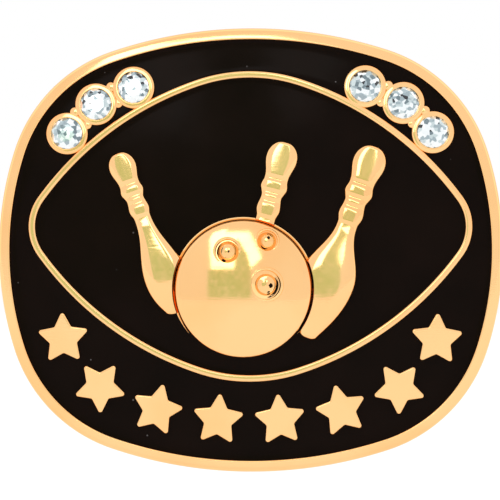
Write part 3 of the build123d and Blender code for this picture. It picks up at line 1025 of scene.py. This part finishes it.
cup_path = rounded_path(
    [
        (axis_radius, cup_foot_level, 0),
        (cup_radius + 0.03, cup_foot_level, 0),
        (cup_radius, cup_level - 0.03, 0.13),
        (lip_radius, cup_level, 0.05),
        (lip_radius + 0.01, cup_level - 0.09, 0.01),
        (seat_radius, cup_level - 0.12, 0.01),
        (seat_radius, seat_floor_level, 0.02),
        (axis_radius, seat_floor_level, 0),
    ]
)
cups = [turned("cup", spot, cup_path, steps=cup_steps) for spot in stone_spots.values()]
print("cups:", len(cups), "webs:", len(webs))

# %% [markdown]
# ## One casting
# On the real pin all of this is a single piece of metal. The Boolean modifier's Manifold solver joins the
# parts and keeps the faces it doesn't touch. The field inside the line is cut a little deeper first.

# %% Join the casting
field_loops = [outline_loop(eye_outline, 0, level) for level in (center_floor_level, rim_level)]
combine(badge_casting, [stacked_loops("field_cut", field_loops)], "DIFFERENCE")
drill_radius = lip_radius + 0.01
drill_path = [(drill_radius, seat_floor_level + 0.01), (drill_radius, 3.0)]
seat_drills = [turned("seat_drill", spot, drill_path, steps=cup_steps) for spot in stone_spots.values()]
combine(badge_casting, [eye_line, *cups, *webs], "UNION")
combine(badge_casting, seat_drills, "DIFFERENCE")
combine(badge_casting, [*stars, *pin_pieces, ball_wire, ball], "UNION")
print("casting:", len(badge_casting.data.vertices), "points")

# %% [markdown]
# ## Enamel pools
# Enamel is poured to just below the metal and creeps up the walls as it cures, so each pool is lower in its
# middle than at its edge. A pool is a stack of shrinking loops with that rise at the edge. The casting is
# then cut out of it, which leaves the enamel exactly where the metal isn't.

# %% Pool meshes
border_enamel_level = 2.2
center_enamel_level = 2.05
creep_height = 0.07
creep_width = 0.5


def creep(distance):
    """How far enamel rises at a distance from a wall."""
    return creep_height * max(0.0, 1 - distance / creep_width) ** 2


def between(outer, inner, share):
    """A loop of points part of the way from one outline to another with as many points."""
    return [(a[0] + (b[0] - a[0]) * share, a[1] + (b[1] - a[1]) * share) for a, b in zip(outer, inner)]


def resampled(outline, inset, count):
    """The outline moved inwards, as count points spread evenly by direction from its centre."""
    points = [(x - inset * out_x, z - inset * out_z) for x, z, out_x, out_z in outline]
    center_up = sum(z for _, z in points) / len(points)
    angles = [math.atan2(z - center_up, x) for x, z in points]
    order = sorted(range(len(points)), key=lambda i: angles[i])
    loop = []
    for k in range(count):
        wanted = -math.pi + 2 * math.pi * k / count
        after = next((n for n, i in enumerate(order) if angles[i] > wanted), 0)
        high, low = order[after], order[after - 1]
        span = (angles[high] - angles[low]) % (2 * math.pi)
        share = ((wanted - angles[low]) % (2 * math.pi)) / span
        loop.append(tuple(a + (b - a) * share for a, b in zip(points[low], points[high])))
    return loop


pool_points = 720
wall_overlap = 0.05
rim_wall = resampled(badge_outline, rim_width - wall_overlap, pool_points)
line_wall = resampled(eye_outline, 0, pool_points)
border_shares = [0, 0.02, 0.04, 0.07, 0.1, 0.15, 0.25, 0.4, 0.6, 0.75, 0.85, 0.9, 0.93, 0.96, 0.98, 1]
field_width = 2.4
border_loops = [[(x, -border_foot_level, z) for x, z in rim_wall]]
for share in border_shares:
    level = border_enamel_level + creep(share * field_width) + creep((1 - share) * field_width)
    border_loops.append([(x, -level, z) for x, z in between(rim_wall, line_wall, share)])
border_loops.append([(x, -border_foot_level, z) for x, z in line_wall])
enamel_border_pool = stacked_loops("enamel_border_pool", border_loops, True)

center_loops = [[(x, -center_foot_level, z) for x, z in line_wall]]
middle = [(0.0, eye_center_up)] * pool_points
center_shares = [0, 0.01, 0.02, 0.03, 0.045, 0.06, 0.1, 0.2, 0.35, 0.5, 0.65, 0.8, 0.9, 0.97]
for share in center_shares:
    level = center_enamel_level + creep(share * eye_half_height)
    center_loops.append([(x, -level, z) for x, z in between(line_wall, middle, share)])
enamel_center_pool = stacked_loops("enamel_center_pool", center_loops)

for pool in (enamel_border_pool, enamel_center_pool):
    combine(pool, [badge_casting], "DIFFERENCE", keep=True)
finish_piece(enamel_border_pool, black_enamel)
finish_piece(enamel_center_pool, black_enamel)
finish_piece(badge_casting, gold_plate)

# %% [markdown]
# ## Rhinestones and their foil
# A pressed stone has a table, a crown of star, kite and triangle facets, a thin girdle, and a pavilion that
# ends in a point. The facets are flat, so the stone keeps flat shading. The silver foil is the same
# pavilion moved out by a hair, as a thin shell. The light a foil throws back out through the crown is not
# traced here: it is painted into the crystal's colour as painted reflections.

# %% Stone sizes
stone_radius = 1.0
table_radius = 0.56
stone_tip_level = 1.7
girdle_level = 2.46
girdle_height = 0.05
table_level = 2.85
crown_middle_radius = 0.8
crown_middle_level = 2.7
knee_radius = 0.42
knee_level = 1.98
foil_gap = 0.012
foil_thickness = 0.03


def facet_loop(count, radius, level, turn):
    """Corners of a regular ring of facets."""
    angles = [turn + 2 * math.pi * i / count for i in range(count)]
    return [(radius * math.cos(angle), -level, radius * math.sin(angle)) for angle in angles]


def lower_facets(shape, girdle, knees, tip):
    """Pavilion facets: eight kites that meet at the tip, and sixteen triangles under the girdle."""
    for i in range(8):
        for corners in (
            (tip, knees[i - 1], girdle[2 * i], knees[i]),
            (girdle[2 * i], girdle[2 * i + 1], knees[i]),
            (girdle[2 * i + 1], girdle[(2 * i + 2) % 16], knees[i]),
        ):
            shape.faces.new(corners)


def place_stone(name, shape, spot, spin):
    """Makes a faceted piece and turns it about its own axis on its spot."""
    bmesh.ops.recalc_face_normals(shape, faces=shape.faces)
    piece = piece_from(name, shape)
    piece.data.transform(Matrix.Translation((spot[0], 0, spot[1])) @ Matrix.Rotation(spin, 4, "Y"))
    return piece


def cut_stone(name, spot, spin):
    """A rhinestone with a full set of facets."""
    shape = bmesh.new()
    half_step = math.pi / 8
    table = [shape.verts.new(p) for p in facet_loop(8, table_radius, table_level, 0)]
    middle = [shape.verts.new(p) for p in facet_loop(8, crown_middle_radius, crown_middle_level, half_step)]
    upper = [shape.verts.new(p) for p in facet_loop(16, stone_radius, girdle_level + girdle_height, 0)]
    lower = [shape.verts.new(p) for p in facet_loop(16, stone_radius, girdle_level, 0)]
    knees = [shape.verts.new(p) for p in facet_loop(8, knee_radius, knee_level, half_step)]
    tip = shape.verts.new((0, -stone_tip_level, 0))
    shape.faces.new(table)
    for i in range(8):
        after = (i + 1) % 8
        shape.faces.new((table[i], table[after], middle[i]))
        shape.faces.new((table[i], middle[i - 1], upper[2 * i], middle[i]))
        shape.faces.new((upper[2 * i], upper[2 * i + 1], middle[i]))
        shape.faces.new((upper[2 * i + 1], upper[(2 * i + 2) % 16], middle[i]))
    for i in range(16):
        shape.faces.new((upper[i - 1], upper[i], lower[i], lower[i - 1]))
    lower_facets(shape, lower, knees, tip)
    return place_stone(name, shape, spot, spin)


def stone_foil(name, spot, spin):
    """The foil under a stone: two nested pavilions joined at the girdle."""
    shape = bmesh.new()
    half_step = math.pi / 8
    rims = []
    for out in (foil_gap, foil_gap + foil_thickness):
        spread = out * 0.8
        girdle = [shape.verts.new(p) for p in facet_loop(16, stone_radius + spread, girdle_level, 0)]
        knees = [shape.verts.new(p) for p in facet_loop(8, knee_radius + spread, knee_level - out, half_step)]
        tip = shape.verts.new((0, -(stone_tip_level - 1.4 * out), 0))
        lower_facets(shape, girdle, knees, tip)
        rims.append(girdle)
    for i in range(16):
        shape.faces.new((rims[0][i - 1], rims[0][i], rims[1][i], rims[1][i - 1]))
    return place_stone(name, shape, spot, spin)


# %% Stone meshes
stone_spins = (0.1, 0.35, 0.22, 0.3, 0.05, 0.42)
for (name, spot), spin in zip(stone_spots.items(), stone_spins):
    stone = cut_stone(f"stone_{name}", spot, spin)
    foil = stone_foil(f"stone_foil_{name}", spot, spin)
    for piece, finish, slot, node in (
        (stone, crystal, "crystal", f"rhinestone_{name}"),
        (foil, silver_foil, "silver_foil", f"foil_{name}"),
    ):
        finish_piece(piece, finish, sharp_angle=1, weighted=False)
        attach(piece, "badge")
        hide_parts(node)

# %% [markdown]
# ## Posts, solder and clutches
# A post is a turned brass nail with a flat head, a groove that the clutch's jaws grip, and a point. It is
# soldered on by its head. The clutch's round base is a pressed disc with a funnel in its middle and a
# curled rim.

# %% Posts and solder
post_up = 1.5
post_half_spacing = 7.5
post_radius = 0.55
post_head_radius = 1.5
post_head_level = 0.28
groove_radius = 0.42
post_tip_radius = 0.08
post_length = 8.0

post_section = rounded_path(
    [
        (axis_radius, post_head_level, 0),
        (post_head_radius, post_head_level, 0),
        (post_head_radius, 0.0, 0.08),
        (post_radius, 0.0, 0.12),
        (post_radius, -5.65, 0.04),
        (groove_radius, -5.83, 0.05),
        (groove_radius, -6.17, 0.05),
        (post_radius, -6.35, 0.04),
        (post_radius, -6.9, 0.15),
        (post_tip_radius, -post_length, 0),
        (axis_radius, -post_length, 0),
    ]
)
solder_section = [(post_head_radius, 0.29), (1.95, 0.29), (1.8, 0.262), (1.66, 0.215), (1.56, 0.15)]
solder_section.append((post_head_radius, 0.08))
for side, sign in SIDES.items():
    spot = (sign * post_half_spacing, post_up)
    post = turned(f"post_turned_{side}", spot, post_section)
    fillet = turned(f"solder_fillet_{side}", spot, solder_section, ring=True)
    for piece, finish, slot, node in (
        (post, post_brass, "post_brass", f"post_{side}"),
        (fillet, solder_tin, "solder", f"solder_{side}"),
    ):
        finish_piece(piece, finish)
        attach(piece, "badge")
        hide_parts(node)

# %% CAD nodes that stay
weld_distance = 0.001
rolled_edge = 0.05
rolled_edge_angle = math.radians(40)
kept_nodes = {"stone_cement": clear_cement}
for side in SIDES:
    kept_nodes[f"clutch_spring_{side}"] = spring_steel
    for part in ("disc", "housing", "jaw_inner", "jaw_outer"):
        kept_nodes[f"clutch_{part}_{side}"] = clutch_brass
for name, finish in kept_nodes.items():
    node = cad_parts[name]
    node.data.materials.clear()
    node.data.materials.append(finish)
    weld = node.modifiers.new("weld", "WELD")
    weld.merge_threshold = weld_distance * MM
    bevel = node.modifiers.new("rolled edges", "BEVEL")
    bevel.width = rolled_edge * MM
    bevel.segments = 3
    bevel.limit_method = "ANGLE"
    bevel.angle_limit = rolled_edge_angle
print("kept nodes:", len(kept_nodes))

# %% The casting and the enamel ride on the badge
for piece, slot, node in (
    (badge_casting, "gold_plate", "badge_body"),
    (enamel_border_pool, "black_enamel", "enamel_border"),
    (enamel_center_pool, "black_enamel", "enamel_center"),
):
    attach(piece, "badge")
    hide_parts(node)
    print(piece.name, "replaces", node)

# %% [markdown]
# ## Camera
# The pin is seen almost straight on, from a touch to its right, at the distance of a close-up lens. The
# picture is as wide as the badge.

# %% Place the camera
camera_distance = 0.110
camera_yaw = math.radians(3.0)
camera_target = Vector((0, -1.2 * MM, 0))
camera_data = bpy.data.cameras.new("camera")
camera = bpy.data.objects.new("camera", camera_data)
bpy.context.scene.collection.objects.link(camera)
camera.location = camera_target + camera_distance * Vector((math.sin(camera_yaw), -math.cos(camera_yaw), 0))
camera.rotation_euler = (camera_target - camera.location).to_track_quat("-Z", "Y").to_euler()
camera_data.sensor_width = 36.0
camera_data.lens = camera_data.sensor_width * camera_distance / (2 * badge_half_width * MM)
camera_data.clip_start = 0.001
bpy.context.scene.camera = camera
bpy.context.scene.view_settings.view_transform = "Standard"
print("lens:", round(camera_data.lens, 1), "mm")

# %% [markdown]
# ## Light
# Polished metal is a picture of what is around it. The pin stands in a white tent, which gives the even
# gold colour. A soft green-grey card beside the lens shows as the olive patches on the ball and the pins,
# and a brighter panel above it as the highlight near the top of the ball. A grey flag behind the pin gives
# its flat back some tone.

# %% The tent
world = bpy.data.worlds.new("tent")
bpy.context.scene.world = world
world.use_nodes = True
tent_nodes, tent_links = world.node_tree.nodes, world.node_tree.links
tent_nodes.clear()
tent_direction = tent_nodes.new("ShaderNodeTexCoord")
tent_direction.label = "direction"
tent_axes = tent_nodes.new("ShaderNodeSeparateXYZ")
tent_axes.label = "its parts"
tent_side = tent_nodes.new("ShaderNodeMath")
tent_side.label = "how far from the sides"
tent_belt = tent_nodes.new("ShaderNodeMapRange")
tent_belt.label = "brighter belt round the sides"
tent_tint = tent_nodes.new("ShaderNodeMix")
tent_tint.label = "belt to white cloth"
tent_seen = tent_nodes.new("ShaderNodeLightPath")
tent_seen.label = "seen directly"
tent_white = tent_nodes.new("ShaderNodeMix")
tent_white.label = "the backdrop is plain white"
tent_light = tent_nodes.new("ShaderNodeBackground")
tent_light.label = "tent light"
tent_output = tent_nodes.new("ShaderNodeOutputWorld")
for i, node in enumerate(tent_nodes):
    node.location = (220 * i - 1000, 0)

tent_side.operation = "ABSOLUTE"
tent_belt.interpolation_type = "SMOOTHSTEP"
tent_belt.inputs["From Min"].default_value = 0.05
tent_belt.inputs["From Max"].default_value = 0.5
tent_tint.data_type = "RGBA"
tent_tint.inputs["A"].default_value = (1.35, 1.33, 1.3, 1.0)
tent_tint.inputs["B"].default_value = (1.0, 1.0, 1.0, 1.0)
tent_white.data_type = "RGBA"
tent_white.inputs["B"].default_value = (1.0, 1.0, 1.0, 1.0)

tent_links.new(tent_direction.outputs["Generated"], tent_axes.inputs["Vector"])
tent_links.new(tent_axes.outputs["Y"], tent_side.inputs[0])
tent_links.new(tent_side.outputs["Value"], tent_belt.inputs["Value"])
tent_links.new(tent_belt.outputs["Result"], tent_tint.inputs["Factor"])
tent_links.new(tent_tint.outputs["Result"], tent_white.inputs["A"])
tent_links.new(tent_seen.outputs["Is Camera Ray"], tent_white.inputs["Factor"])
tent_links.new(tent_white.outputs["Result"], tent_light.inputs["Color"])
tent_links.new(tent_light.outputs["Background"], tent_output.inputs["Surface"])


# %% Cards and panels
def reflection_card(name, distance, corners, colour, blotches, strength):
    """A glowing card square to the view, from corners (x, z) in millimetres; the camera looks through it."""
    shape = bmesh.new()
    shape.faces.new([shape.verts.new((x * MM, -distance * MM, z * MM)) for x, z in corners])
    card = piece_from(name, shape)
    glow = bpy.data.materials.new(name)
    glow.use_nodes = True
    nodes, links = glow.node_tree.nodes, glow.node_tree.links
    nodes.clear()
    place = nodes.new("ShaderNodeTexCoord")
    place.label = "place on the card"
    place.location = (-900, 0)
    cloth = nodes.new("ShaderNodeTexNoise")
    cloth.label = "uneven cloth"
    cloth.location = (-680, 0)
    cloth_reach = nodes.new("ShaderNodeMapRange")
    cloth_reach.label = "how much of it shows"
    cloth_reach.location = (-460, 0)
    cloth_tint = nodes.new("ShaderNodeMix")
    cloth_tint.label = "cloth to blotches"
    cloth_tint.location = (-240, 0)
    cloth_frame = nodes.new("NodeFrame")
    cloth_frame.label = "cloth of the card"
    for node in (cloth, cloth_reach, cloth_tint):
        node.parent = cloth_frame
    light = nodes.new("ShaderNodeEmission")
    light.label = "card glow"
    output = nodes.new("ShaderNodeOutputMaterial")
    output.location = (220, 0)

    cloth.inputs["Scale"].default_value = 420.0
    cloth.inputs["Detail"].default_value = 3.0
    cloth_reach.inputs["From Min"].default_value = 0.45
    cloth_reach.inputs["From Max"].default_value = 0.7
    cloth_tint.data_type = "RGBA"
    cloth_tint.inputs["A"].default_value = (*colour, 1.0)
    cloth_tint.inputs["B"].default_value = (*blotches, 1.0)
    light.inputs["Strength"].default_value = strength

    links.new(place.outputs["Object"], cloth.inputs["Vector"])
    links.new(cloth.outputs["Fac"], cloth_reach.inputs["Value"])
    links.new(cloth_reach.outputs["Result"], cloth_tint.inputs["Factor"])
    links.new(cloth_tint.outputs["Result"], light.inputs["Color"])
    links.new(light.outputs["Emission"], output.inputs["Surface"])
    card.data.materials.append(glow)
    card.visible_camera = False
    card.visible_shadow = False
    card.visible_diffuse = False
    return card


card_distance = camera_distance / MM
lens_card = [
    (-31.0, -5.5),
    (-0.8, -5.5),
    (-0.8, 14.8),
    (-2.3, 20.5),
    (-4.1, 26.0),
    (-10.5, 36.9),
    (-12.5, 14.8),
    (-31.0, 14.8),
]
top_panel = [
    (-29.0, 15.0),
    (-0.8, 15.0),
    (6.5, 23.0),
    (-2.0, 42.0),
    (-19.5, 42.5),
    (-19.5, 48.0),
    (-32.0, 48.0),
    (-32.0, 42.0),
]
reflection_card("lens_card", card_distance - 1, lens_card, (0.58, 0.8, 0.5), (0.86, 0.98, 0.88), 1.0)
reflection_card("top_panel", card_distance + 1, top_panel, (1.0, 0.98, 0.94), (1.0, 0.93, 0.85), 3.6)
back_flag = [(-60.0, -50.0), (-6.0, -50.0), (24.0, 50.0), (-60.0, 50.0)]
reflection_card("back_flag", -card_distance, back_flag, (0.5, 0.48, 0.46), (0.62, 0.6, 0.57), 1.0)
print("cards: 3")

# %% [markdown]
# ## Floor
# A sheet of white paper lies a little below the pin. Its grain only shows close up.

# %% Floor
floor_gap = 0.012
floor_half_size = 0.6
floor_shape = bmesh.new()
bmesh.ops.create_grid(floor_shape, x_segments=8, y_segments=8, size=floor_half_size)
floor = piece_from("floor", floor_shape)
floor.location = (0, 0, cad_box[0].z - floor_gap)
paper = bpy.data.materials.new("floor_paper")
paper.use_nodes = True
paper_nodes, paper_links = paper.node_tree.nodes, paper.node_tree.links
paper_body = paper_nodes["Principled BSDF"]
paper_grain = paper_nodes.new("ShaderNodeTexNoise")
paper_grain.label = "paper grain"
paper_grain.location = (-500, -200)
paper_relief = paper_nodes.new("ShaderNodeBump")
paper_relief.label = "grain height"
paper_relief.location = (-250, -200)
grain_frame = paper_nodes.new("NodeFrame")
grain_frame.label = "paper grain"
for node in (paper_grain, paper_relief):
    node.parent = grain_frame
paper_grain.inputs["Scale"].default_value = 900.0
paper_relief.inputs["Strength"].default_value = 0.1
paper_relief.inputs["Distance"].default_value = 0.0001
paper_body.inputs["Base Color"].default_value = (1.0, 1.0, 1.0, 1.0)
paper_body.inputs["Roughness"].default_value = 1.0
paper_body.inputs["Specular IOR Level"].default_value = 0.0
paper_links.new(paper_grain.outputs["Fac"], paper_relief.inputs["Height"])
paper_links.new(paper_relief.outputs["Normal"], paper_body.inputs["Normal"])
floor.data.materials.append(paper)
